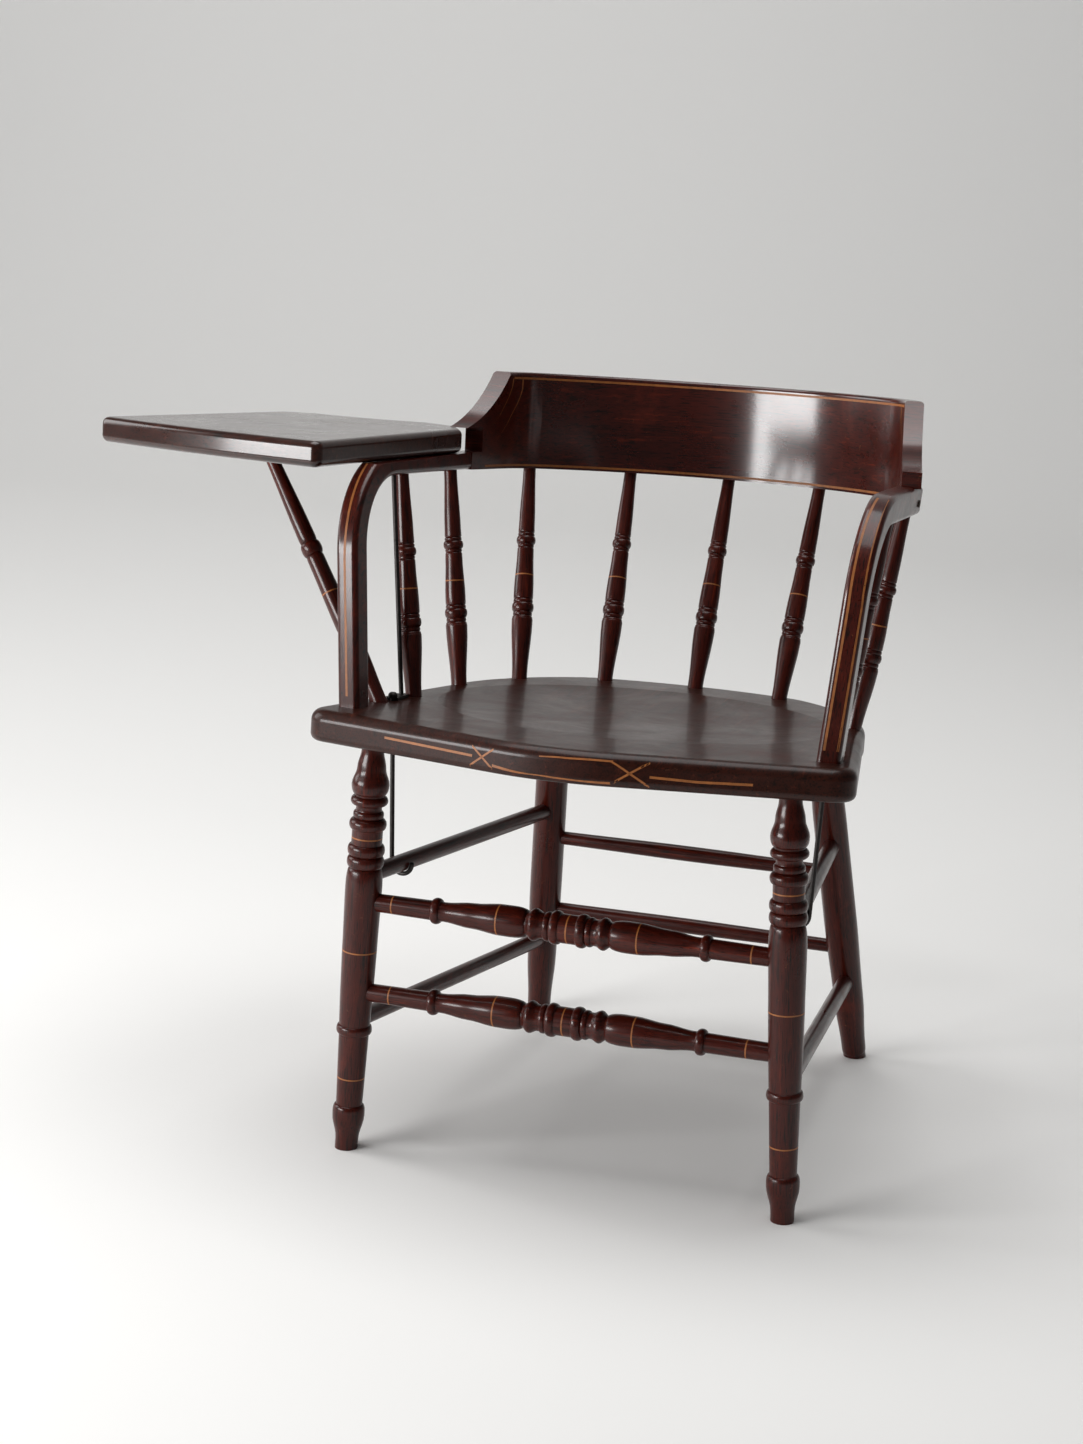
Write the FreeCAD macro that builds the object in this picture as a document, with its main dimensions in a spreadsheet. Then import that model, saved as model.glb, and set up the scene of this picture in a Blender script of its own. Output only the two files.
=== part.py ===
import FreeCAD, Part
import Sketcher
import math
import os
import re

# Writing arm windsor chair. X is across the chair, -Y is its front, Z is up.
# The frame's origin is on the floor, under the middle of the chair's outline.
# Places on the chair are measured from its own middle plane and cross line.

SIZES = (
    ("seat_height", 443.5, "floor to the seat's top, at the front line"),
    ("seat_slope", 4.9, "degrees that the seat falls to the rear"),
    ("seat_thickness", 31, "plank"),
    ("seat_front_line", 208, "cross line to the front corners"),
    ("seat_front_point", 77, "how far the front edge comes forward at the middle"),
    ("seat_front_radius", 215, "curve at the middle of the front edge"),
    ("seat_half_width", 270, "middle to the widest point"),
    ("seat_corner_radius", 24, "front corners in plan"),
    ("seat_blend_radius", 60, "softening where the rear curves meet"),
    ("seat_rear_half_width", 221, "where the sides meet the round rear"),
    ("seat_rear_start", 40, "cross line to that place"),
    ("seat_rear_corner_radius", 230, "round rear corners in plan"),
    ("seat_back_half_width", 117, "where the flat back curve starts"),
    ("seat_back_start", 211, "cross line to that place"),
    ("seat_back_radius", 400, "flat back curve in plan"),
    ("seat_top_round", 11, "arris at the top edge"),
    ("seat_bottom_round", 7, "arris at the bottom edge"),
    ("hollow_half_width", 196, "saddle hollow, across"),
    ("hollow_half_depth", 172, "saddle hollow, front to rear"),
    ("hollow_sink", 8, "saddle hollow, deepest point"),
    ("hollow_lift", 14, "height of the hollow's centre over the seat"),
    ("hollow_back", 12, "cross line to the hollow's centre, forwards"),
    ("fit", 0.2, "clearance round every tenon and at its end"),
    ("overrun", 30, "how far cutting shapes run past the wood"),
    ("leg_line_drop", 27.5, "seat height down to where the legs' upper places are given"),
    ("front_foot_out", 222, "front foot from the middle plane"),
    ("front_foot_fore", 195.5, "front foot before the cross line"),
    ("front_top_out", 205, "front leg at the leg line"),
    ("front_top_fore", 187, "front leg at the leg line"),
    ("rear_foot_out", 184, "rear foot from the middle plane"),
    ("rear_foot_back", 272, "rear foot behind the cross line"),
    ("rear_top_out", 142, "rear leg at the leg line"),
    ("rear_top_back", 173, "rear leg at the leg line"),
    ("leg_socket_depth", 19, "depth of the leg sockets in the seat"),
    ("leg_ring_radius", 18.1, "rings and swell of the front legs"),
    ("leg_neck_radius", 10.8, "neck under the seat"),
    ("rear_leg_radius", 17.7, "widest part of the rear legs"),
    ("rear_leg_tenon_radius", 13, "rear leg in the seat"),
    ("front_stretcher_upper_height", 254, "at the front legs"),
    ("front_stretcher_lower_height", 162.5, "at the front legs"),
    ("side_stretcher_upper_fore_height", 279, "at the front leg"),
    ("side_stretcher_upper_back_height", 253.5, "at the rear leg"),
    ("side_stretcher_lower_fore_height", 132, "at the front leg"),
    ("side_stretcher_lower_back_height", 93, "at the rear leg"),
    ("rear_stretcher_upper_height", 220.5, "at the rear legs"),
    ("rear_stretcher_lower_height", 132, "at the rear legs"),
    ("stretcher_end_radius", 8.8, "ends of the front stretchers"),
    ("stretcher_ring_radius", 16.3, "rings in the middle"),
    ("dowel_radius", 8.6, "side stretchers"),
    ("rear_dowel_radius", 8.4, "rear stretchers, middle"),
    ("rear_dowel_end_radius", 7.2, "rear stretchers, ends"),
    ("stretcher_stop", 5, "leg axis to the end of a stretcher in it"),
    ("spindle_row_half_width", 213, "spindles on the seat, across"),
    ("spindle_row_back", 209, "middle spindle on the seat"),
    ("spindle_bead_radius", 11.6, "lower bead"),
    ("spindle_top_radius", 6.6, "at the crest"),
    ("spindle_socket_depth", 16, "in the seat and in the rails"),
    ("crest_bottom", 619.5, "floor to the crest's lower edge"),
    ("crest_height", 101.5, "lower to upper edge"),
    ("crest_thickness", 19, "board"),
    ("crest_back_reach", 305, "cross line to the crest's middle layer"),
    ("crest_radius", 280, "back curve in plan"),
    ("crest_arc_angle", 44, "degrees of the back curve on each side"),
    ("crest_corner_radius", 90, "tighter curve to the ends"),
    ("crest_side_angle", 77, "degrees, heading of the straight ends"),
    ("crest_end_length", 126, "straight ends"),
    ("crest_lap_back", 114, "cross line to the rear of the laps"),
    ("crest_lap_height", 665.2, "floor to the laps, at the cross line"),
    ("crest_housing_back", 134, "cross line to the rear of the tablet's housing"),
    ("crest_tip_back", 69, "cross line to the tips on the arms"),
    ("crest_tip_height", 16, "height of the tips' blunt ends"),
    ("crest_shoulder_back", 179, "cross line to the upper corners"),
    ("crest_swoop_radius", 145, "hollow curve between tip and corner"),
    ("crest_round", 3.5, "arris of the upper edge"),
    ("arm_width", 22, "across the bent strip"),
    ("arm_rail_over", 14.5, "centre line to the top of the sloping part"),
    ("arm_rail_under", 14, "centre line to its underside"),
    ("arm_rail_under_left", 7.5, "the same where the tablet's arm is planed thinner"),
    ("arm_post_depth", 27, "depth of the upright part"),
    ("arm_inner_bend_radius", 69, "inside of the bend"),
    ("arm_outer_bend_radius", 95, "outside of the bend"),
    ("arm_corner_out", 252.4, "where the centre lines meet, from the middle plane"),
    ("arm_corner_fore", 142, "where the centre lines meet, before the cross line"),
    ("arm_corner_height", 664.3, "where the centre lines meet, over the floor"),
    ("arm_rail_length", 257, "from there to the rear end"),
    ("arm_toe", 3.1, "degrees that the level part runs inwards"),
    ("arm_splay", 4.8, "degrees that the post leans outwards"),
    ("arm_lean", 6.1, "degrees that the post leans back"),
    ("arm_round", 5, "arrises of the arms"),
    ("arm_tenon_width", 12, "tenon in the seat"),
    ("arm_tenon_depth", 18, "tenon in the seat"),
    ("arm_tenon_length", 16, "tenon in the seat"),
    ("arm_socket_depth", 11, "spindles in the arms"),
    ("tablet_reach", 540, "middle plane to the tablet's far end"),
    ("tablet_length", 311, "far end to the corner on the arm"),
    ("tablet_fore", 196, "cross line to the tablet's front corner"),
    ("tablet_depth", 351, "front corner to the rear corner"),
    ("tablet_front_radius", 1250, "front edge in plan"),
    ("tablet_hollow_radius", 285, "hollow at the rear of the far end"),
    ("tablet_corner_radius", 9, "corners in plan"),
    ("tablet_thickness", 25, "board"),
    ("tablet_height", 659.9, "floor to its underside, at the cross line"),
    ("tablet_fall", 3.4, "degrees that it falls to the rear"),
    ("tablet_round", 7, "arris of the tablet"),
    ("brace_seat_out", 228, "brace on the seat"),
    ("brace_seat_fore", 120, "brace on the seat"),
    ("brace_top_out", 375, "brace under the tablet"),
    ("brace_top_fore", 63, "brace under the tablet"),
    ("brace_socket_depth", 9, "in the seat and in the tablet"),
    ("rod_radius", 2.3, "iron rods"),
    ("rod_seat_out", 220, "arm rod on the seat"),
    ("rod_seat_fore", 81, "arm rod on the seat"),
    ("rod_socket_depth", 9, "arm rod in the arm"),
    ("rod_foot_length", 29, "forged foot of the arm rod"),
    ("rod_foot_width", 12, "forged foot of the arm rod"),
    ("rod_foot_thickness", 3, "forged foot of the arm rod"),
    ("hook_place_fore", 117, "where the hook rod holds the side stretcher"),
    ("hook_top_out", 219, "hook rod through the seat"),
    ("hook_top_fore", 106, "hook rod through the seat"),
    ("nut_radius", 4.6, "domed nut on the foot"),
    ("nut_height", 5, "domed nut on the foot"),
)

doc = FreeCAD.newDocument("WritingArmChair")
sheet = doc.addObject("Spreadsheet::Sheet", "Sizes")
for row, (alias, value, meaning) in enumerate(SIZES, 1):
    sheet.set(f"A{row}", meaning)
    sheet.set(f"B{row}", str(value))
    sheet.setAlias(f"B{row}", alias)
doc.recompute()
places = doc.addObject("App::VarSet", "Places")
WORDS = re.compile(r"\b(" + "|".join(alias for alias, value, meaning in SIZES) + r")\b")


def bound(text):
    """Expression text in which each size's name points at its cell."""
    return WORDS.sub(r"Sizes.\1", str(text))


def number(text):
    """Value of an expression, as it stands now."""
    found = sheet.evalExpression(bound(text))
    return float(getattr(found, "Value", found))


def keep(name, text):
    """Hold a worked-out value under a name, bound to its expression."""
    places.addProperty("App::PropertyFloat", name)
    setattr(places, name, number(text))
    places.setExpression(name, bound(text))
    return "Places." + name


def spot(name, place):
    """Hold a place on the chair."""
    return tuple(keep(f"{name}_{axis}", text) for axis, text in zip("xyz", place))


class Line:
    """Straight line between two places, with its length and heading."""

    def __init__(self, name, start, end):
        self.name = name
        self.start = spot(name + "_start", start)
        self.end = spot(name + "_end", end)
        steps = [f"({b}-{a})" for a, b in zip(self.start, self.end)]
        self.length = keep(name + "_length", "sqrt(" + "+".join(f"{step}^2" for step in steps) + ")")
        self.heading = [keep(f"{name}_heading_{axis}", f"{step}/{self.length}")
                        for axis, step in zip("xyz", steps)]

    def at(self, distance):
        """Place at a distance from the start."""
        return tuple(f"{a}+({distance})*{h}" for a, h in zip(self.start, self.heading))

    def run_to(self, height):
        """Distance from the start to where the line passes a height."""
        return f"((({height})-{self.start[2]})/{self.heading[2]})"

    def turn(self, sign=1):
        """Turn that lays the Z axis along the line, or against it where the sign is -1."""
        x, y, z = self.heading
        return f"rotation(vector(0-{sign}*{y};{sign}*{x};0);acos({sign}*{z}))"


LEG_LINE_HEIGHT = keep("leg_line_height", "seat_height-leg_line_drop")
MIDDLE = keep("middle_plane", "(tablet_reach-seat_half_width)/2")
front_turn = keep("seat_front_turn", "atan(seat_front_point/seat_half_width)")
front_reach = f"(seat_front_line+seat_front_point-seat_front_radius*(1/cos({front_turn})-1))"
CROSS = keep("cross_line", f"({front_reach}-crest_back_reach-crest_thickness/2)/2")
LEVEL = "rotation(vector(0;0;1);0)"
SLOPED = "rotation(vector(1;0;0);0-seat_slope)"
TABLET_TURN = "rotation(vector(1;0;0);0-tablet_fall)"


def stand(item, place, turn=LEVEL):
    """Bind an object's Placement to a place on the chair and a turn."""
    x, y, z = place
    text = f"placement(vector({MIDDLE}+({x});{CROSS}+({y});{z});{turn})"
    item.setExpression("Placement", bound(text))


def outline(body, name, role, points):
    """Closed sketch of lines and arcs on one of the body's own planes.

    A point is (x, y) or (x, y, radius): with a radius, the side that follows is an arc of
    it that bulges to the right of the way of travel, or to the left where it is negative.
    """
    sketch = body.newObject("Sketcher::SketchObject", name)
    plane = [plane for plane in body.Origin.OriginFeatures if plane.Role == role][0]
    sketch.AttachmentSupport = [(plane, "")]
    sketch.MapMode = "FlatFace"
    spots = [FreeCAD.Vector(number(point[0]), number(point[1]), 0) for point in points]
    count = len(points)
    for index, point in enumerate(points):
        start = spots[index]
        end = spots[(index + 1) % count]
        if len(point) == 2:
            sketch.addGeometry(Part.LineSegment(start, end), False)
            continue
        radius = number(point[2])
        chord = end - start
        rise = abs(radius) - math.sqrt(radius ** 2 - chord.Length ** 2 / 4)
        right = FreeCAD.Vector(chord.y, -chord.x, 0).normalize()
        middle = (start + end) / 2 + right * math.copysign(rise, radius)
        sketch.addGeometry(Part.Arc(start, middle, end), False)

    def tip(side, spot):
        near = (sketch.getPoint(side, 1) - spot).Length
        far = (sketch.getPoint(side, 2) - spot).Length
        return 1 if near < far else 2

    for index, point in enumerate(points):
        spot = spots[index]
        before = (index - 1) % count
        own = tip(index, spot)
        sketch.addConstraint(Sketcher.Constraint("Coincident", before, tip(before, spot), index, own))
        for axis, kind, straight in ((0, "DistanceX", -2), (1, "DistanceY", -1)):
            if point[axis] == "0":
                sketch.addConstraint(Sketcher.Constraint("PointOnObject", index, own, straight))
                continue
            at = sketch.addConstraint(Sketcher.Constraint(kind, -1, 1, index, own, spot[axis]))
            sketch.renameConstraint(at, f"{kind}_{index}")
            sketch.setExpression(f"Constraints.{kind}_{index}", bound(point[axis]))
        if len(point) == 3:
            at = sketch.addConstraint(Sketcher.Constraint("Radius", index, abs(number(point[2]))))
            sketch.renameConstraint(at, f"Radius_{index}")
            sketch.setExpression(f"Constraints.Radius_{index}", bound(f"abs({point[2]})"))
    return sketch


def new_body(name):
    body = doc.addObject("PartDesign::Body", name)
    body.Label = name
    return body


def padded(body, sketch, height, middle=False, down=False):
    pad = body.newObject("PartDesign::Pad", sketch.Name + "_pad")
    pad.Profile = sketch
    pad.Midplane = middle
    pad.Reversed = down
    pad.setExpression("Length", bound(height))
    return pad


def rounded(body, feature, radius, wanted):
    """Fillet on the edges of a feature that the test picks."""
    doc.recompute()
    names = [f"Edge{place}" for place, edge in enumerate(feature.Shape.Edges, 1) if wanted(edge)]
    fillet = body.newObject("PartDesign::Fillet", f"{feature.Name}_round")
    fillet.Base = (feature, names)
    fillet.setExpression("Radius", bound(radius))
    return fillet


def level(edge, height):
    """True for an edge that lies wholly at one height of its body."""
    near = number("fit")
    return abs(edge.BoundBox.ZMin - height) < near and abs(edge.BoundBox.ZMax - height) < near


def upright(edge):
    """True for a straight upright edge of a body."""
    box = edge.BoundBox
    return box.ZLength > box.XLength + box.YLength


def turned(name, profile, line, place=None):
    """Piece turned on a lathe: (distance, radius[, curve]) from one end to the other."""
    body = new_body(name)
    points = [(radius, distance) + tuple(rest) for distance, radius, *rest in profile]
    points = [("0", profile[0][0])] + points + [("0", profile[-1][0])]
    sketch = outline(body, name + "_profile", "XZ_Plane", points)
    spun = body.newObject("PartDesign::Revolution", name + "_turning")
    spun.Profile = sketch
    spun.ReferenceAxis = (sketch, ["V_Axis"])
    spun.Angle = 360
    stand(body, place or line.start, line.turn())
    return body


def bore(name, line, start, depth, radius, sign=1):
    """Round cutting shape or pin on a line, from a distance along it."""
    cylinder = doc.addObject("Part::Cylinder", name)
    cylinder.setExpression("Radius", bound(radius))
    cylinder.setExpression("Height", bound(depth))
    stand(cylinder, line.at(start), line.turn(sign))
    return cylinder


def block(name, place, turn=LEVEL):
    """Large cutting box whose top face lies level with a place."""
    box = doc.addObject("Part::Box", name)
    for side_name in ("Length", "Width", "Height"):
        box.setExpression(side_name, bound("4*overrun"))
    x, y, z = place
    stand(box, (f"{x}-2*overrun", f"{y}-2*overrun", f"{z}-4*overrun"), turn)
    return box


def slab(name, height, turn, front):
    """Cutting box that stands on a sloping plane, from a line across the chair rearwards."""
    box = doc.addObject("Part::Box", name)
    for side_name in ("Length", "Width"):
        box.setExpression(side_name, bound("4*crest_radius"))
    box.setExpression("Height", bound("2*overrun"))
    fall = "seat_slope" if turn == SLOPED else "tablet_fall"
    stand(box, ("0-2*crest_radius", front, f"{height}-tan({fall})*({front})"), turn)
    return box


def joined(name, kind, base, others):
    """Boolean of a base and others; the result carries the sub-part's name."""
    group = doc.addObject("Part::Compound", name + "_others")
    group.Links = others
    result = doc.addObject(kind, name + "_whole")
    result.Base = base
    result.Tool = group
    base.Label = base.Name + "_blank"
    return result


def finish(name, item):
    item.Label = name
    finished[name] = item


finished = {}
sides = (("left", -1), ("right", 1))
carried = {"seat": [], "crest_rail": [], "arm_left": [], "arm_right": [], "writing_tablet": []}
carried.update({f"{end}_leg_{side}": [] for end in ("front", "rear") for side, sign in sides})


def seat_top(back):
    """Height of the seat's top at a distance behind the cross line."""
    return f"(seat_height-tan(seat_slope)*(({back})+seat_front_line))"


# Axes of the legs, from the floor through the leg line
leg_lines = {}
for side, sign in sides:
    for end, forward in (("front", "0-front_{}_fore"), ("rear", "rear_{}_back")):
        foot = (f"{sign}*{end}_foot_out", forward.format("foot"), "0")
        top = (f"{sign}*{end}_top_out", forward.format("top"), LEG_LINE_HEIGHT)
        leg_lines[f"{end}_leg_{side}"] = Line(f"{end}_leg_{side}", foot, top)

# Turned profiles: shares of the length from the start, of the widest radius and, where the
# side is round, of that radius again for its curve (hollow where it is negative)
FRONT_LEG_SHARES = (
    (-0.02, 0.625), (0.024, 0.625), (0.082, 0.88), (0.094, 0.88), (0.111, 0.715),
    (0.285, 0.81), (0.297, 0.97), (0.31, 0.85), (0.49, 0.95), (0.644, 1, 1.4),
    (0.693, 0.84), (0.7075, 1), (0.7215, 0.85), (0.7355, 1), (0.75, 0.835),
    (0.784, 0.835), (0.797, 1), (0.811, 0.76), (0.82, 0.82), (0.836, 0.69),
    (0.8525, 1), (0.865, 0.79, 1.3), (0.915, 0.94, -3.4),
)
REAR_LEG_SHARES = ((-0.02, 0.69), (0.03, 0.73, 30), (0.35, 1), (0.69, 0.99, 14))
STRETCHER_HALF_SHARES = (
    (0.041, 0.86), (0.064, 1), (0.09, 0.78), (0.102, 0.87), (0.13, 0.78), (0.169, 0.97),
    (0.2, 0.72, 2.4), (0.34, 0.92), (0.614, 0.57), (0.628, 0.6), (0.65, 0.79), (0.673, 0.59),
)
SPINDLE_SHARES = (
    (0.278, 0.95), (0.304, 0.8), (0.334, 1), (0.364, 0.84), (0.385, 0.9),
    (0.6, 0.74), (0.627, 0.66), (0.651, 0.86), (0.68, 0.7), (0.703, 0.75),
)
BRACE_SHARES = (
    (0.2, 0.85), (0.22, 0.74), (0.25, 1), (0.28, 0.76), (0.3, 0.86),
    (0.565, 0.76), (0.58, 0.68), (0.605, 0.9), (0.63, 0.68), (0.65, 0.76),
)
SPINDLE_FOOT_SHARE = 0.69
SPINDLE_SOCKET_SHARE = 1.06
FRONT_TENON_SHARE = 0.972
REAR_TENON_SHARE = 0.9


def stations(shares, length, radius, start="0"):
    """Profile points from a table of shares."""
    points = []
    for far, wide, *curve in shares:
        curve = tuple(f"{share}*{radius}" for share in curve)
        points.append((f"{start}+{far}*{length}", f"{wide}*{radius}") + curve)
    return points


def leg(name, shares, radius, tenon_radius, tenon_share):
    """Turned leg, cut level with the floor, with its socket in the seat."""
    line = leg_lines[name]
    under = f"({seat_top(line.end[1])}-seat_thickness/cos(seat_slope))"
    reach = keep(name + "_reach", line.run_to(f"{under}+leg_socket_depth"))
    profile = stations(shares, line.length, radius)
    profile += [(f"{tenon_share}*{line.length}", tenon_radius), (reach, tenon_radius)]
    blank = turned(name + "_turned", profile, line)
    tools = [block(name + "_floor", line.start)] + carried[name]
    finish(name, joined(name, "Part::Cut", blank, tools))
    carried["seat"].append(bore(name + "_socket", line, f"{reach}+fit", "leg_socket_depth+overrun",
                                f"{tenon_radius}+fit", -1))


def rail(name, first, second, first_height, second_height, profile_of, end_radius):
    """Stretcher between two legs, with its sockets bored in them."""
    low = leg_lines[first]
    high = leg_lines[second]
    line = Line(name, low.at(low.run_to(first_height)), high.at(high.run_to(second_height)))
    length = keep(name + "_cut", f"{line.length}-2*stretcher_stop")
    finish(name, turned(name, profile_of(length), line, line.at("stretcher_stop")))
    depth = f"overrun+{end_radius}"
    radius = f"{end_radius}+fit"
    carried[first].append(bore(name + "_first_socket", line, "stretcher_stop-fit", depth, radius))
    carried[second].append(bore(name + "_second_socket", line, f"{line.length}-stretcher_stop+fit",
                                depth, radius, -1))
    return line


def ringed_rail(length):
    """Front stretcher: both halves are alike, from the middle outwards."""
    middle = f"{length}/2"
    right = stations(STRETCHER_HALF_SHARES, middle, "stretcher_ring_radius", middle)
    left = [(f"{length}-({point[0]})", point[1]) for point in reversed(right)]
    curve = [index for index, point in enumerate(right) if len(point) == 3][0]
    left[len(right) - 2 - curve] += (right[curve][2],)
    return [("0", "stretcher_end_radius")] + left + right + [(length, "stretcher_end_radius")]


def dowel(length):
    return [("0", "dowel_radius"), (length, "dowel_radius")]


def swelled_dowel(length):
    swell = f"({length}^2/8/(rear_dowel_radius-rear_dowel_end_radius))"
    return [("0", "rear_dowel_end_radius", swell), (length, "rear_dowel_end_radius")]


side_rails = {}
for height_name in ("upper", "lower"):
    for end, profile_of, radius in (("front", ringed_rail, "stretcher_end_radius"),
                                    ("rear", swelled_dowel, "rear_dowel_end_radius")):
        name = f"{end}_stretcher_{height_name}"
        rail(name, end + "_leg_left", end + "_leg_right", name + "_height", name + "_height",
             profile_of, radius)
    for side, sign in sides:
        name = f"side_stretcher_{height_name}"
        side_rails[f"{name}_{side}"] = rail(
            f"{name}_{side}", "front_leg_" + side, "rear_leg_" + side,
            name + "_fore_height", name + "_back_height", dowel, "dowel_radius")

for side, sign in sides:
    leg("front_leg_" + side, FRONT_LEG_SHARES, "leg_ring_radius", "leg_neck_radius",
        FRONT_TENON_SHARE)
    leg("rear_leg_" + side, REAR_LEG_SHARES, "rear_leg_radius", "rear_leg_tenon_radius",
        REAR_TENON_SHARE)

# Places of the spindles: shares of the row on the seat, of the crest's back curve and of the
# arms' level part, from the front pair to the middle one
SEAT_SPOT_SHARES = ((1.005, -0.302), (0.977, 0.231), (0.817, 0.665), (0.451, 0.925), (0, 1))
ARM_SPOT_SHARES = (0.435, 0.885)
ROD_ARM_SHARE = 0.36
CREST_ANGLE_SHARES = (1.03, 0.5, 0)


def on_crest(share):
    """Place on the crest's middle layer, at a share of its back curve's angle."""
    turn = f"({share}*crest_arc_angle)"
    return f"crest_radius*sin({turn})", f"crest_back_reach-crest_radius*(1-cos({turn}))"


def crest_under(back):
    """Height of the crest's lower edge at a distance behind the cross line."""
    return f"(crest_bottom+tan(seat_slope)*(crest_back_reach-crest_thickness/2-({back})))"


def under_arm(side, sign, share):
    """Place on the underside of an arm's sloping part, at a share of its length."""
    below = "arm_rail_under_left" if side == "left" else "arm_rail_under"
    run = f"({share}*arm_rail_length)"
    drop = f"(tan(seat_slope)*{run}+{below}/cos(seat_slope))"
    return (f"{sign}*(arm_corner_out-sin(arm_toe)*{run}-sin(arm_splay)*{drop})",
            f"cos(arm_toe)*{run}-arm_corner_fore",
            f"arm_corner_height-cos(arm_splay)*{drop}")


def spindle(name, low, high, carrier, shares, low_depth, high_depth):
    """Turned spindle between the seat and a rail, with both its sockets."""
    line = Line(name, low, high)
    foot_radius = f"{SPINDLE_FOOT_SHARE}*spindle_bead_radius"
    profile = [("0", foot_radius)]
    profile += stations(shares, line.length, "spindle_bead_radius", low_depth)
    profile += [(f"{low_depth}+{line.length}", "spindle_top_radius"),
                (f"{low_depth}+{line.length}+{high_depth}", "spindle_top_radius")]
    finish(name, turned(name, profile, line, line.at("0-" + low_depth)))
    carried["seat"].append(bore(name + "_foot_socket", line, f"0-{low_depth}-fit",
                                f"{low_depth}+fit+overrun", f"{SPINDLE_SOCKET_SHARE}*{foot_radius}+fit"))
    carried[carrier].append(bore(name + "_top_socket", line, f"{line.length}+{high_depth}+fit",
                                 f"{high_depth}+fit+overrun", "spindle_top_radius+fit", -1))


for place in range(9):
    step = min(place, 8 - place)
    sign = -1 if place < 4 else 1
    across, back = SEAT_SPOT_SHARES[step]
    low_y = f"{back}*spindle_row_back"
    low = (f"{sign * across}*spindle_row_half_width", low_y, seat_top(low_y))
    if step < 2:
        side = "left" if sign < 0 else "right"
        high = under_arm(side, sign, ARM_SPOT_SHARES[step])
        carrier = "arm_" + side
        depth = "arm_socket_depth"
    else:
        x, y = on_crest(CREST_ANGLE_SHARES[step - 2])
        high = (f"{sign}*{x}", y, crest_under(y))
        carrier = "crest_rail"
        depth = "spindle_socket_depth"
    spindle(f"spindle_{place + 1}", low, high, carrier, SPINDLE_SHARES, "spindle_socket_depth", depth)

brace_low = ("0-brace_seat_out", "0-brace_seat_fore", seat_top("(0-brace_seat_fore)"))
brace_high = ("0-brace_top_out", "0-brace_top_fore", "tablet_height+tan(tablet_fall)*brace_top_fore")
spindle("tablet_brace", brace_low, brace_high, "writing_tablet", BRACE_SHARES,
        "brace_socket_depth", "brace_socket_depth")


def iron(side, sign):
    """Iron of one side: arm rod with a forged foot, hook rod and its nut."""
    on_seat = seat_top("(0-rod_seat_fore)")
    name = "arm_rod_" + side
    line = Line(name, (f"{sign}*rod_seat_out", "0-rod_seat_fore", on_seat),
                under_arm(side, sign, ROD_ARM_SHARE))
    rod = bore(name + "_round", line, "rod_foot_thickness/2", f"{line.length}+rod_socket_depth", "rod_radius")
    foot = doc.addObject("Part::Box", name + "_foot")
    foot.setExpression("Length", bound("rod_foot_width"))
    foot.setExpression("Width", bound("rod_foot_length"))
    foot.setExpression("Height", bound("rod_foot_thickness"))
    stand(foot, (f"{sign}*rod_seat_out-rod_foot_width/2", "rod_radius*2-rod_seat_fore-rod_foot_length",
                 seat_top("(rod_radius*2-rod_seat_fore-rod_foot_length)") + "+fit"),
          SLOPED)
    carried["arm_" + side].append(bore(name + "_socket", line, f"{line.length}-fit",
                                       "rod_socket_depth+rod_foot_thickness", "rod_radius+fit"))
    whole = joined(name, "Part::Fuse", rod, [foot])

    # The hook rod passes outside the side stretcher and curls under it
    stretcher = side_rails["side_stretcher_upper_" + side]
    grip = keep(f"hook_grip_{side}", "dowel_radius+rod_radius+2*fit")
    run = keep(f"hook_run_{side}", f"(0-hook_place_fore-{stretcher.start[1]})/{stretcher.heading[1]}")
    axis = spot(f"hook_axis_{side}", stretcher.at(run))
    yaw = keep(f"hook_yaw_{side}", f"atan(0-{stretcher.heading[0]}/{stretcher.heading[1]})")
    low = (f"{axis[0]}+{sign}*{grip}*cos({yaw})", f"{axis[1]}+{sign}*{grip}*sin({yaw})", axis[2])
    seat_level = seat_top("(0-hook_top_fore)")
    high = (f"{sign}*hook_top_out", "0-hook_top_fore", f"{seat_level}+rod_foot_thickness+2*fit")
    name = "hook_rod_" + side
    line = Line(name, low, high)
    straight = bore(name + "_round", line, "0", f"{line.length}+nut_height/2", "rod_radius")
    curl = doc.addObject("Part::Torus", name + "_curl")
    curl.setExpression("Radius1", bound(grip))
    curl.setExpression("Radius2", bound("rod_radius"))
    curl.Angle3 = 180
    stand(curl, axis, f"rotation({90 - 90 * sign}+{yaw};0;-90)")
    ends = []
    for end_name, end_side in (("elbow", sign), ("tip", -sign)):
        ball = doc.addObject("Part::Sphere", f"{name}_{end_name}")
        ball.setExpression("Radius", bound("rod_radius"))
        stand(ball, (f"{axis[0]}+{end_side}*{grip}*cos({yaw})",
                     f"{axis[1]}+{end_side}*{grip}*sin({yaw})", axis[2]))
        ends.append(ball)
    hook = joined(name, "Part::Fuse", straight, [curl])
    for place, ball in enumerate(ends):
        again = doc.addObject("Part::Fuse", f"{name}_with_{place}")
        again.Base = hook
        again.Tool = ball
        hook = again
    finish(name, hook)
    hole = bore(name + "_hole", line, "0", f"{line.length}+overrun", "rod_radius+fit")
    carried["seat"].append(hole)
    finish("arm_rod_" + side, joined(f"arm_rod_{side}_bored", "Part::Cut", whole, [hole]))
    nut = turned(f"rod_nut_{side}_dome", [("0", "nut_radius"), ("nut_height/2", "nut_radius", "nut_radius"),
                                          ("nut_height", "nut_radius/2")],
                 line, line.at(f"{line.length}"))
    socket = bore(f"rod_nut_{side}_bore", line, f"{line.length}-overrun", "overrun+nut_height/2+fit",
                  "rod_radius+fit")
    finish(f"rod_nut_{side}", joined(f"rod_nut_{side}", "Part::Cut", nut, [socket]))


for side, sign in sides:
    iron(side, sign)


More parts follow.
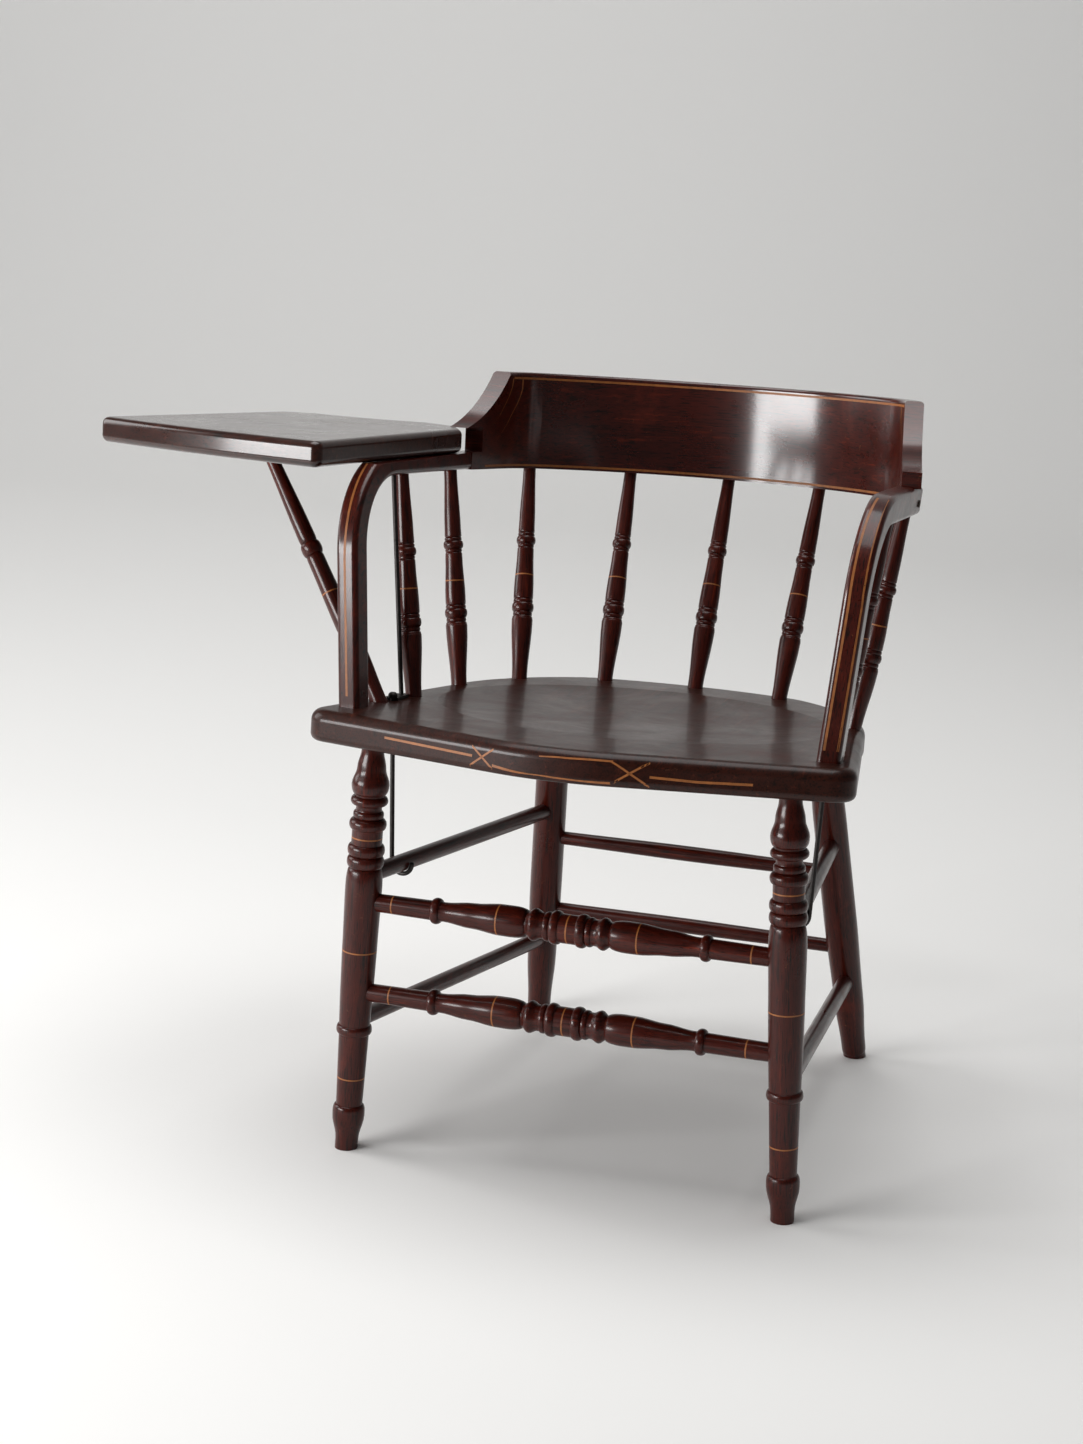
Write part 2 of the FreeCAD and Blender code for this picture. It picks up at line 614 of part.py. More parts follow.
def arm(side, sign):
    """Bent arm: a flat bow of one strip that leans outwards, scribed and tenoned to the seat."""
    name = "arm_" + side
    below = "arm_rail_under_left" if side == "left" else "arm_rail_under"
    spread = keep(name + "_spread", f"cos(arm_lean-seat_slope)")
    turn = keep(name + "_turn", f"tan((90-arm_lean+seat_slope)/2)")
    fall = keep(name + "_fall", f"(arm_corner_height-{seat_top('(0-arm_corner_fore)')})"
                f"/cos(arm_lean)/cos(arm_splay)")

    def corner(behind, above):
        """Where a line beside the post's centre line meets one beside the rail's."""
        return (f"(({behind})*cos(seat_slope)+({above})*sin(arm_lean))/{spread}",
                f"(({above})*cos(arm_lean)-({behind})*sin(seat_slope))/{spread}")

    def down(place, run):
        return f"{place[0]}-({run})*sin(arm_lean)", f"{place[1]}-({run})*cos(arm_lean)"

    def along(place, run):
        return f"{place[0]}+({run})*cos(seat_slope)", f"{place[1]}-({run})*sin(seat_slope)"

    def across(place, rise):
        return f"{place[0]}+({rise})*sin(seat_slope)", f"{place[1]}+({rise})*cos(seat_slope)"

    outside = corner("0-arm_post_depth/2", "arm_rail_over")
    inside = corner("arm_post_depth/2", f"0-{below}")
    end = along(("0", "0"), "arm_rail_length")
    body = new_body(name + "_bow")
    points = [
        down(outside, f"{fall}+2*overrun"),
        down(inside, f"{fall}+2*overrun"),
        down(inside, f"arm_inner_bend_radius*{turn}") + ("0-arm_inner_bend_radius",),
        along(inside, f"arm_inner_bend_radius*{turn}"),
        across(end, f"0-{below}"),
        across(end, "arm_rail_over"),
        along(outside, f"arm_outer_bend_radius*{turn}") + ("arm_outer_bend_radius",),
        down(outside, f"arm_outer_bend_radius*{turn}"),
    ]
    pad = padded(body, outline(body, name + "_side", "XZ_Plane", points), "arm_width", True)
    shortest = number("arm_rail_over+arm_rail_under+arm_post_depth")
    rounded(body, pad, "arm_round", lambda edge: edge.BoundBox.YLength < number("fit")
            and edge.Length > shortest)
    place = (f"{sign}*arm_corner_out", "0-arm_corner_fore", "arm_corner_height")
    lie = f"rotation(90+{sign}*arm_toe;0;{sign}*arm_splay)"
    stand(body, place, lie)

    def tongue(tongue_name, grow):
        """Tenon under the post, or its mortise where it is grown by the fit."""
        piece = new_body(tongue_name)
        wide = f"(arm_tenon_depth/2+{grow})"
        low = f"{fall}+arm_tenon_length+{grow}"
        high = f"{fall}-overrun/2"
        left = corner(f"0-{wide}", "0")
        right = corner(wide, "0")
        corners = [down(left, low), down(right, low), down(right, high), down(left, high)]
        padded(piece, outline(piece, tongue_name + "_side", "XZ_Plane", corners),
               f"arm_tenon_width+2*{grow}", True)
        stand(piece, place, lie)
        return piece

    foot_y = keep(name + "_foot_y", f"0-arm_corner_fore-{fall}*sin(arm_lean)")
    plane = block(name + "_scribe", (f"{sign}*arm_corner_out", foot_y, seat_top(foot_y) + "+fit"),
                  SLOPED)
    if side == "left":
        # The tablet lies on a flat planed along this arm
        flat = slab(name + "_flat", "tablet_height-fit", TABLET_TURN, "0-seat_front_line")
    else:
        flat = slab(name + "_flat", "crest_lap_height", SLOPED, "crest_tip_back-fit")
    scribed = joined(name + "_scribed", "Part::Cut", body, [plane, flat] + carried[name])
    tenon = tongue(name + "_tenon", "0")
    finish(name, joined(name, "Part::Fuse", scribed, [tenon]))
    carried["seat"].append(tongue(name + "_mortise", "fit"))


for side, sign in sides:
    arm(side, sign)


def crest():
    """Deep rail, bent round the back, with ends that sweep down on to the arms."""
    body = new_body("crest_board")
    half = "crest_thickness/2"
    turn = "crest_arc_angle"
    last = "crest_side_angle"
    hub_x = keep("crest_hub_x", f"(crest_radius-crest_corner_radius)*sin({turn})")
    hub_y = keep("crest_hub_y", f"crest_back_reach-crest_radius+(crest_radius-crest_corner_radius)*cos({turn})")

    def layer(offset):
        """Half of one face in plan: end of the back curve, of the corner and of the side."""
        back = (f"(crest_radius+{offset})*sin({turn})",
                f"crest_back_reach-crest_radius+(crest_radius+{offset})*cos({turn})")
        round_x = f"{hub_x}+(crest_corner_radius+{offset})*sin({last})"
        round_y = f"{hub_y}+(crest_corner_radius+{offset})*cos({last})"
        end = (f"{round_x}+crest_end_length*cos({last})", f"{round_y}-crest_end_length*sin({last})")
        return back, (round_x, round_y), end

    def mirror(point):
        return f"0-({point[0]})", point[1]

    outer = layer(half)
    inner = layer(f"(0-{half})")
    points = [
        outer[2],
        outer[1] + (f"crest_corner_radius+{half}",),
        outer[0] + (f"crest_radius+{half}",),
        mirror(outer[0]) + (f"crest_corner_radius+{half}",),
        mirror(outer[1]),
        mirror(outer[2]),
        mirror(inner[2]),
        mirror(inner[1]) + (f"{half}-crest_corner_radius",),
        mirror(inner[0]) + (f"{half}-crest_radius",),
        inner[0] + (f"{half}-crest_corner_radius",),
        inner[1],
        inner[2],
    ]
    padded(body, outline(body, "crest_plan", "XY_Plane", points), "crest_height")
    root = "(crest_bottom+tan(seat_slope)*(crest_back_reach-crest_thickness/2))"
    lap = keep("crest_lap", f"(crest_lap_height+fit-{root})*cos(seat_slope)")
    over = "crest_height+overrun"
    side = [
        ("0-overrun", "0-overrun"),
        ("crest_lap_back", "0-overrun"),
        ("crest_lap_back", lap),
        ("crest_tip_back", lap),
        ("crest_tip_back", f"{lap}+crest_tip_height", "crest_swoop_radius"),
        ("crest_shoulder_back", "crest_height"),
        ("crest_shoulder_back", over),
        ("0-overrun", over),
    ]
    sweep = body.newObject("PartDesign::Pocket", "crest_sweep")
    sweep.Profile = outline(body, "crest_ends", "YZ_Plane", side)
    sweep.Midplane = True
    sweep.setExpression("Length", bound("4*crest_radius"))
    top = number("crest_height")
    rounded(body, sweep, "crest_round", lambda edge: level(edge, top)
            and edge.BoundBox.YLength > number("fit"))
    stand(body, ("0", "0", root), SLOPED)
    return body


def housing():
    """Slot in the crest's left end for the tablet's rear corner."""
    box = doc.addObject("Part::Box", "crest_housing")
    box.setExpression("Length", bound("tablet_length+overrun"))
    box.setExpression("Width", bound("crest_housing_back+tablet_fore"))
    box.setExpression("Height", bound("tablet_thickness+3*fit"))
    stand(box, ("0-tablet_reach", "0-tablet_fore", "tablet_height+tan(tablet_fall)*tablet_fore-fit"),
          TABLET_TURN)
    return box


finish("crest_rail", joined("crest_rail", "Part::Cut", crest(), [housing()] + carried["crest_rail"]))

# Tablet in plan: shares of its length from the arm's side and of its depth from the front
TABLET_SHARES = (
    (0.113, 0), (0, 0.82), (0.058, 0.925), (0.196, 0.98), (0.627, 1), (0.73, 0.965),
    (0.82, 0.729), (1, 0.25),
)


def tablet():
    """Paddle-shaped board with round arrises, hollowed behind its far end."""
    body = new_body("tablet_board")
    points = [(f"tablet_length-tablet_reach-{far}*tablet_length", f"{deep}*tablet_depth-tablet_fore")
              for far, deep in TABLET_SHARES]
    points[3] += ("0-tablet_hollow_radius",)
    points[7] += ("tablet_front_radius",)
    pad = padded(body, outline(body, "tablet_plan", "XY_Plane", points), "tablet_thickness")
    corners = rounded(body, pad, "tablet_corner_radius", upright)
    top = number("tablet_thickness")
    rounded(body, corners, "tablet_round", lambda edge: level(edge, 0) or level(edge, top))
    stand(body, ("0", "0", "tablet_height"), TABLET_TURN)
    return body


finish("writing_tablet", joined("writing_tablet", "Part::Cut", tablet(), carried["writing_tablet"]))


def seat_plank():
    """Plank with a bowed front, straight sides, a round rear and soft arrises."""
    body = new_body("seat_plank")
    points = [
        ("0", "0-seat_front_line-seat_front_point"),
        ("seat_half_width", "0-seat_front_line"),
        ("seat_rear_half_width", "seat_rear_start", "seat_rear_corner_radius"),
        ("seat_back_half_width", "seat_back_start", "seat_back_radius"),
        ("0-seat_back_half_width", "seat_back_start", "seat_rear_corner_radius"),
        ("0-seat_rear_half_width", "seat_rear_start"),
        ("0-seat_half_width", "0-seat_front_line"),
    ]
    pad = padded(body, outline(body, "seat_plan", "XY_Plane", points), "seat_thickness", down=True)
    front = -number("seat_front_line+fit")
    nose = rounded(body, pad, "seat_front_radius", lambda edge: upright(edge)
                   and edge.BoundBox.YMax < front)
    corners = rounded(body, nose, "seat_corner_radius", lambda edge: upright(edge)
                      and abs(edge.BoundBox.YMax - front) < number("seat_corner_radius/2")
                      and abs(edge.BoundBox.XMax) > number("seat_back_half_width"))
    blended = rounded(body, corners, "seat_blend_radius", lambda edge: upright(edge)
                      and edge.BoundBox.YMin > 0)
    top = rounded(body, blended, "seat_top_round", lambda edge: level(edge, 0))
    under = -number("seat_thickness")
    rounded(body, top, "seat_bottom_round", lambda edge: level(edge, under))
    stand(body, ("0", "0", "seat_height-tan(seat_slope)*seat_front_line"),
          SLOPED)
    return body


def hollow():
    """Flat ellipsoid that sinks the saddle into the plank."""
    tool = doc.addObject("Part::Ellipsoid", "saddle")
    deep = "(hollow_lift+hollow_sink)"
    spread = f"sqrt(1-(hollow_lift/{deep})^2)"
    tool.setExpression("Radius1", bound(deep))
    tool.setExpression("Radius2", bound(f"hollow_half_width/{spread}"))
    tool.setExpression("Radius3", bound(f"hollow_half_depth/{spread}"))
    height = f"{seat_top('(0-hollow_back)')}+hollow_lift"
    stand(tool, ("0", "0-hollow_back", height), SLOPED)
    return tool


finish("seat", joined("seat", "Part::Cut", seat_plank(), [hollow()] + carried["seat"]))

doc.recompute()
failed = []
for item in doc.Objects:
    if "Invalid" in item.State or "Error" in item.State:
        failed.append(item.Name)
if failed:
    raise RuntimeError("not built: " + ", ".join(failed))
os.makedirs("parts", exist_ok=True)
for name, item in finished.items():
    shape = item.Shape
    if shape.isNull() or not shape.isValid():
        raise RuntimeError("unsound shape: " + name)
    if len(shape.Solids) != 1:
        raise RuntimeError(f"{name} has {len(shape.Solids)} solids")
    shape.exportStep(f"parts/{name}.step")
    print(name, round(shape.Volume))
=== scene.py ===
import math

import bpy
from mathutils import Matrix, Vector


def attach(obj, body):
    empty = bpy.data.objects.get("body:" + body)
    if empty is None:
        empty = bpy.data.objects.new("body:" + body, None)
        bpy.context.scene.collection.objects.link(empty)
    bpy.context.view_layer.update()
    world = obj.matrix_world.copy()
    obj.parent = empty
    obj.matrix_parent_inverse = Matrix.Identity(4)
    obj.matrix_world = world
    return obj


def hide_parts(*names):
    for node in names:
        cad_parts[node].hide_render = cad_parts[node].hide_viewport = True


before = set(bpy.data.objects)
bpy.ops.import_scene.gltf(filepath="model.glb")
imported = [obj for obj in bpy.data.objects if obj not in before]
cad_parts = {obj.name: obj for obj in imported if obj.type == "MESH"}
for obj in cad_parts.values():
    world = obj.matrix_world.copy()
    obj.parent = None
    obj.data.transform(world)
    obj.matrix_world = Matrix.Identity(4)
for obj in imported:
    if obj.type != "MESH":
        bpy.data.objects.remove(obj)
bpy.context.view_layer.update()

MM = 0.001
MIDDLE = Vector((135.0, -19.136, 0.0))

# The chair's own sizes, in mm from its middle plane, its cross line and the floor
SEAT_HEIGHT = 443.5
SEAT_SLOPE = math.radians(4.9)
SEAT_FRONT_LINE = 208
LEG_LINE_HEIGHT = SEAT_HEIGHT - 27.5
FRONT_FOOT = (222, -195.5, 0)
FRONT_TOP = (205, -187, LEG_LINE_HEIGHT)
REAR_FOOT = (184, 272, 0)
REAR_TOP = (142, 173, LEG_LINE_HEIGHT)
SIDES = (("left", -1), ("right", 1))

# How finely the pieces are turned
LATHE_STEPS = 40
CURVE_STEPS = 5
MERGE_WITHIN = 0.00001
SMOOTH_UNDER = math.radians(38)
STRIPE_HALF = 0.7
GRAIN_SHIFT = 0.37


def at(x, y, z):
    """A place in the row frame, in metres, from the chair's own mm."""
    return (Vector((x, y, z)) + MIDDLE) * MM


def seat_top(y):
    """Height of the seat's top plane at a distance behind the cross line."""
    return SEAT_HEIGHT - math.tan(SEAT_SLOPE) * (y + SEAT_FRONT_LINE)


def facing(place, way, axis="Z"):
    """Placement with an axis of the piece along a direction."""
    return Matrix.Translation(place) @ way.to_track_quat(axis, "Y").to_matrix().to_4x4()


# Materials


def srgb(text):
    """A hex colour as linear light, with alpha."""
    parts = [int(text[place:place + 2], 16) / 255 for place in (0, 2, 4)]
    return tuple(v / 12.92 if v <= 0.04045 else ((v + 0.055) / 1.055) ** 2.4 for v in parts) + (1,)


def add(tree, kind, settings=None, links=None):
    """One node with its settings and its links: {input: (node, output)} or {input: value}."""
    made = tree.nodes.new(kind)
    for name, value in (settings or {}).items():
        setattr(made, name, value)
    for name, source in (links or {}).items():
        if isinstance(source, tuple) and isinstance(source[0], bpy.types.Node):
            tree.links.new(source[0].outputs[source[1]], made.inputs[name])
        else:
            made.inputs[name].default_value = source
    return made


def blank(name):
    """A new material with its tree emptied."""
    made = bpy.data.materials.new(name)
    made.use_nodes = True
    made.node_tree.nodes.clear()
    return made, made.node_tree


# The Mix node's colour sockets share their names with others, so they go by number
FACTOR, UNDER, OVER, MIXED = 0, 6, 7, 2

# Noise patterns: detail, roughness and distortion
GRAIN_NOISE = (8.0, 0.62, 0.6)
PORE_NOISE = (3.0, 0.5, 0.0)
RUB_NOISE = (9.0, 0.68, 0.4)
FLECK_NOISE = (7.0, 0.75, 1.6)
PORE_SHARE = 1 / 4.5
DARK_SHARE = 0.6
RUB_SIZE = 77
FLECK_SIZE = 9.1


def stained_wood(name, tones, grain_size, turned=False, wear=0.5, gloss=0.24, coat=0.45):
    """Stained wood under old varnish; tones run from pore to bare wood, and grain size is in mm."""
    made, tree = blank(name)
    pore_tone, stain, lit, bare = [srgb(tone) for tone in tones]
    if turned:
        source = (add(tree, "ShaderNodeAttribute", {"attribute_name": "along_lathe"}), "Vector")
    else:
        source = (add(tree, "ShaderNodeTexCoord"), "Object")
    # grain is streaks a few mm across and some cm long, with finer pores in it, drawn coarse to show;
    # the varnish is rubbed in places some cm wide, and flecked and scratched in places of some mm
    patterns = {}
    for pattern, size, (detail, roughness, distortion) in (
            ("grain", grain_size, GRAIN_NOISE),
            ("pore", [PORE_SHARE * side for side in grain_size], PORE_NOISE),
            ("rub", [RUB_SIZE] * 3, RUB_NOISE),
            ("fleck", [FLECK_SIZE] * 3, FLECK_NOISE)):
        spread = add(tree, "ShaderNodeMapping", links={
            "Vector": source, "Scale": [1 / (side * MM) for side in size]})
        patterns[pattern] = add(tree, "ShaderNodeTexNoise", links={
            "Vector": (spread, "Vector"), "Scale": 1.0, "Detail": detail, "Roughness": roughness,
            "Distortion": distortion})
    # layers of colour, each where its pattern runs from one level to another
    colour = pore_tone
    for pattern, start, whole, tone, strength in (
            ("grain", 0.3, 0.46, stain, 1), ("grain", 0.58, 0.76, lit, 1), ("pore", 0.46, 0.34, pore_tone, 1),
            ("rub", 0.56, 0.76, lit, wear), ("fleck", 0.64, 0.72, bare, wear)):
        mask = add(tree, "ShaderNodeMapRange", links={
            "Value": (patterns[pattern], "Fac"), "From Min": start, "From Max": whole, "To Max": strength})
        colour = (add(tree, "ShaderNodeMix", {"data_type": "RGBA"}, {
            FACTOR: (mask, "Result"), UNDER: colour, OVER: tone}), MIXED)
    rough = add(tree, "ShaderNodeMapRange", links={
        "Value": (patterns["rub"], "Fac"), "From Min": 0.3, "From Max": 0.75,
        "To Min": gloss, "To Max": gloss + 0.22})
    bump = add(tree, "ShaderNodeBump", links={
        "Height": (patterns["grain"], "Fac"), "Strength": 0.3, "Distance": 0.5 * MM})
    shader = add(tree, "ShaderNodeBsdfPrincipled", links={
        "Base Color": colour, "Roughness": (rough, "Result"), "Normal": (bump, "Normal"),
        "IOR": 1.5, "Specular IOR Level": 0.2,
        "Coat Weight": coat, "Coat Roughness": 0.14, "Coat IOR": 1.5})
    add(tree, "ShaderNodeOutputMaterial", links={"Surface": (shader, "BSDF")})
    return made


def plain(name, tone, roughness, grit_size, metallic=0.0):
    """A coloured surface whose colour and roughness vary a little, with its grit in mm."""
    made, tree = blank(name)
    dark = tuple(DARK_SHARE * value for value in srgb(tone)[:3]) + (1,)
    place = add(tree, "ShaderNodeTexCoord")
    spots = add(tree, "ShaderNodeTexNoise", links={
        "Vector": (place, "Object"), "Scale": 1 / (grit_size * MM), "Detail": 6.0, "Roughness": 0.6})
    mask = add(tree, "ShaderNodeMapRange", links={
        "Value": (spots, "Fac"), "From Min": 0.3, "From Max": 0.7})
    colour = add(tree, "ShaderNodeMix", {"data_type": "RGBA"}, {
        FACTOR: (mask, "Result"), UNDER: dark, OVER: srgb(tone)})
    rough = add(tree, "ShaderNodeMapRange", links={
        "Value": (spots, "Fac"), "To Min": roughness - 0.1, "To Max": roughness + 0.1})
    bump = add(tree, "ShaderNodeBump", links={
        "Height": (spots, "Fac"), "Strength": 0.3, "Distance": 0.3 * MM})
    shader = add(tree, "ShaderNodeBsdfPrincipled", links={
        "Base Color": (colour, MIXED), "Roughness": (rough, "Result"), "Normal": (bump, "Normal"),
        "Metallic": metallic})
    add(tree, "ShaderNodeOutputMaterial", links={"Surface": (shader, "BSDF")})
    return made


# Tones: pore, stain, lit grain and bare wood under worn stain
RED_TONES = ("140401", "3E0F06", "6C230E", "9A6038")
SEAT_TONES = ("110502", "2E1007", "4E2114", "78513D")

# Maple off the lathe: fine grain along the piece, and a sharp light on every bead
turned_wood = stained_wood("Mahogany-stained maple, turned and varnished", RED_TONES, (3.85, 3.85, 71.4),
                           turned=True, wear=0.55, coat=0.25)
# Pine plank, hollowed with a scraper: broad grain from side to front, dulled by sitters
seat_wood = stained_wood("Mahogany-stained pine plank, saddled and varnished", SEAT_TONES, (6.67, 111, 6.67),
                         gloss=0.3, coat=0.2)
# Pine board, planed flat: its thick varnish mirrors the room at a low angle
tablet_wood = stained_wood("Mahogany-stained pine board, planed and varnished", SEAT_TONES, (111, 6.67, 6.67),
                           gloss=0.22, coat=0.75)
# Ash bent in steam: long red grain round the back, and one broad soft light
crest_wood = stained_wood("Mahogany-stained ash, steam-bent and varnished", RED_TONES, (83.3, 16.7, 4.55),
                          gloss=0.2, coat=0.8)
# Ash bow: grain that follows the bend, and the most worn varnish, where hands lie
arm_wood = stained_wood("Mahogany-stained ash, bow-bent and varnished", RED_TONES, (4.17, 29.4, 29.4),
                        wear=0.6)
# Oil paint drawn with a long brush: a dull yellow line, uneven in depth
ochre_paint = plain("Ochre oil paint, brushed line", "A2602A", 0.5, 6.25)
# Forged rod: near black, with a low uneven shine
iron = plain("Wrought iron, forged and blackened", "43403F", 0.5, 4.55, 1.0)
# Old screws: brown and duller than the rods
screw_iron = plain("Mild steel, slotted screw, rusted", "5C534D", 0.6, 2.5, 1.0)


# Turned pieces


def swept(profile):
    """(distance, radius, form) stations as plain points; form shapes the run from the last one."""
    points = [profile[0][:2]]
    for far, wide, form in profile[1:]:
        near, narrow = points[-1]
        steps = 1 if form == "line" else CURVE_STEPS
        for step in range(1, steps + 1):
            share = step / steps
            rise = math.sin(share * math.pi / 2)
            fall = 1 - math.cos(share * math.pi / 2)
            if form == "line":
                run, lift = share, share
            elif form == "sway":
                run, lift = share, (1 - math.cos(share * math.pi)) / 2
            elif (wide > narrow) == (form == "bead"):
                run, lift = fall, rise
            else:
                run, lift = rise, fall
            points.append((near + run * (far - near), narrow + lift * (wide - narrow)))
    return points


def point_at(name, place):
    """A new piece that is one point so far, picked in edit mode, ready to be drawn out."""
    bpy.ops.object.select_all(action="DESELECT")
    bpy.ops.mesh.primitive_plane_add(size=MM)
    made = bpy.context.object
    made.name = name
    bpy.ops.object.mode_set(mode="EDIT")
    bpy.ops.mesh.select_all(action="SELECT")
    bpy.ops.mesh.merge(type="CENTER")
    bpy.ops.transform.translate(value=place)
    return made


def draw_out(step):
    """Extrudes what is picked by a step in metres."""
    bpy.ops.mesh.extrude_region_move(TRANSFORM_OT_translate={"value": step})


def lathe(name, start, end, profile, stripes=(), floor=False):
    """Turned piece from start towards end, in the chair's mm; stripes are painted lines round it."""
    points = [list(point) for point in swept(profile)]
    for stripe in stripes:
        for edge in (stripe - STRIPE_HALF, stripe + STRIPE_HALF):
            after = [index for index, point in enumerate(points) if point[0] > edge][0]
            (near, narrow), (far, wide) = points[after - 1], points[after]
            share = (edge - near) / (far - near)
            points.insert(after, [edge, narrow + share * (wide - narrow)])
    points = [[points[0][0], 0]] + points + [[points[-1][0], 0]]
    made = point_at(name, (points[0][1] * MM, 0, points[0][0] * MM))
    for (near, narrow), (far, wide) in zip(points, points[1:]):
        draw_out(((wide - narrow) * MM, 0, (far - near) * MM))
    bpy.ops.mesh.select_all(action="SELECT")
    bpy.ops.mesh.spin(steps=LATHE_STEPS, angle=math.tau, center=(0, 0, 0), axis=(0, 0, 1))
    bpy.ops.mesh.select_all(action="SELECT")
    bpy.ops.mesh.remove_doubles(threshold=MERGE_WITHIN)
    bpy.ops.mesh.normals_make_consistent(inside=False)
    bpy.ops.object.mode_set(mode="OBJECT")
    made.data.materials.append(turned_wood)
    made.data.materials.append(ochre_paint)
    for face in made.data.polygons:
        height = face.center.z / MM
        if any(abs(height - stripe) < STRIPE_HALF for stripe in stripes):
            face.material_index = 1
    # the grain runs along the piece, and each piece has its own stretch of it
    shift = sum(ord(letter) for letter in name) * GRAIN_SHIFT
    along = made.data.attributes.new("along_lathe", "FLOAT_VECTOR", "POINT")
    for vertex, value in zip(made.data.vertices, along.data):
        value.vector = vertex.co + Vector((0, 0, shift))
    low, high = at(*start), at(*end)
    made.matrix_world = facing(low, high - low)
    bpy.ops.object.transform_apply(location=True, rotation=True, scale=True)
    if floor:
        bpy.ops.object.mode_set(mode="EDIT")
        bpy.ops.mesh.select_all(action="SELECT")
        bpy.ops.mesh.bisect(plane_co=(0, 0, MERGE_WITHIN), plane_no=(0, 0, 1),
                            clear_inner=True, use_fill=True)
        bpy.ops.object.mode_set(mode="OBJECT")
    bpy.ops.object.shade_smooth_by_angle(angle=SMOOTH_UNDER)
    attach(made, "root")
    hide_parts(name)


def along_line(start, end, height):
    """Place on a line at a height."""
    share = (height - start[2]) / (end[2] - start[2])
    return tuple(a + share * (b - a) for a, b in zip(start, end))


def mirrored(place, sign):
    """The same place on the left (-1) or the right (1)."""
    return (sign * place[0], place[1], place[2])


def span(start, end):
    """Distance between two places."""
    return (Vector(end) - Vector(start)).length


# Stations up a leg, in mm from where its middle line meets the floor: distance, radius and form
FRONT_LEG_PROFILE = (
    (-6, 11.25, ""), (10, 11.4, "line"), (34.5, 15.9, "sway"), (39, 15.9, "line"), (46, 13, "bead"),
    (119, 14.8, "line"), (123.5, 17.5, "bead"), (128.5, 15.2, "bead"), (162, 16.25, "line"),
    (205, 17.1, "line"), (270, 18, "sway"), (288.5, 15, "bead"), (294.5, 18.1, "bead"),
    (300.4, 15, "bead"), (306.2, 18.1, "bead"), (312, 15, "bead"), (326.5, 15, "line"),
    (332, 18.1, "bead"), (337.7, 13.4, "bead"), (341.5, 14.9, "bead"), (345, 12.9, "bead"),
    (348, 12.5, "cove"), (350.5, 13.2, "cove"), (355, 18.1, "bead"), (359.8, 14.3, "bead"),
    (361.5, 14.4, "line"), (371, 18.2, "bead"), (387, 14, "sway"), (405, 10.8, "sway"), (428, 10.8, "line"),
)
FRONT_LEG_STRIPES = (74, 204.7, 318.5)
REAR_LEG_PROFILE = (
    (-8, 12.1, ""), (6, 12.15, "line"), (12, 13, "bead"), (75, 16, "sway"), (165, 17.6, "sway"),
    (296, 17.5, "line"), (345, 15.7, "sway"), (387, 13, "sway"), (408, 13, "line"),
)

# The ringed stretcher from its middle outwards, up to its plain ends, in mm
RINGED_HALF_PROFILE = (
    (0, 14, ""), (8.6, 14, "line"), (13.4, 16.4, "bead"), (18, 12.7, "bead"), (21, 14.3, "bead"),
    (24, 12.7, "bead"), (27, 12.6, "line"), (35, 15.8, "sway"), (42, 11.7, "sway"),
    (58, 15.2, "bead"), (68, 15.1, "line"), (98, 12.3, "sway"), (127, 9.4, "sway"),
    (130, 9.8, "line"), (134.5, 12.8, "bead"), (139, 9.6, "bead"),
)
RINGED_END_RADIUS = 8.8
RINGED_STRIPES = (70, 179)
DOWEL_RADIUS = 8.6
REAR_RAIL_END_RADIUS = 7.2
REAR_RAIL_MIDDLE_RADIUS = 8.4
STRETCHER_STOP = 5

# Heights of the stretchers on the legs' middle lines: at both ends, or at the front and the back
FRONT_RAIL_HEIGHTS = {"upper": 254, "lower": 162.5}
REAR_RAIL_HEIGHTS = {"upper": 220.5, "lower": 132}
SIDE_RAIL_HEIGHTS = {"upper": (279, 253.5), "lower": (132, 93)}


def ringed_profile(length):
    """The ringed stretcher, the same on both sides of its middle."""
    half = RINGED_HALF_PROFILE + ((length / 2, RINGED_END_RADIUS, "line"),)
    right = [(length / 2 + far, wide, form) for far, wide, form in half]
    left = []
    for index in range(len(half) - 1, 0, -1):
        form = half[index + 1][2] if index + 1 < len(half) else ""
        left.append((length / 2 - half[index][0], half[index][1], form))
    return left + [(length / 2, half[0][1], half[1][2])] + right[1:]


def swelled_profile(length):
    """The rear stretcher, a little thicker in its middle."""
    return [(0, REAR_RAIL_END_RADIUS, ""), (length / 2, REAR_RAIL_MIDDLE_RADIUS, "sway"),
            (length, REAR_RAIL_END_RADIUS, "sway")]


def dowel_profile(length):
    """The side stretcher, even all along."""
    return [(0, DOWEL_RADIUS, ""), (length, DOWEL_RADIUS, "line")]


def ringed_stripes(length):
    """Painted lines on the ringed stretcher, at its middle and in pairs from it."""
    return [length / 2 + sign * place for place in RINGED_STRIPES for sign in (-1, 1)] + [length / 2]


legs = {}
for side, sign in SIDES:
    legs["front_leg_" + side] = (mirrored(FRONT_FOOT, sign), mirrored(FRONT_TOP, sign))
    legs["rear_leg_" + side] = (mirrored(REAR_FOOT, sign), mirrored(REAR_TOP, sign))
    lathe("front_leg_" + side, *legs["front_leg_" + side], FRONT_LEG_PROFILE, FRONT_LEG_STRIPES, floor=True)
    lathe("rear_leg_" + side, *legs["rear_leg_" + side], REAR_LEG_PROFILE, floor=True)


def stretcher(name, legs_joined, heights, profile_of, stripes_of=lambda length: ()):
    """Rail between two legs, from inside one to inside the other."""
    low, high = [along_line(*legs[leg], height) for leg, height in zip(legs_joined, heights)]
    whole = span(low, high)
    unit = (Vector(high) - Vector(low)) / whole
    start = tuple(Vector(low) + STRETCHER_STOP * unit)
    length = whole - 2 * STRETCHER_STOP
    lathe(name, start, high, profile_of(length), stripes_of(length))


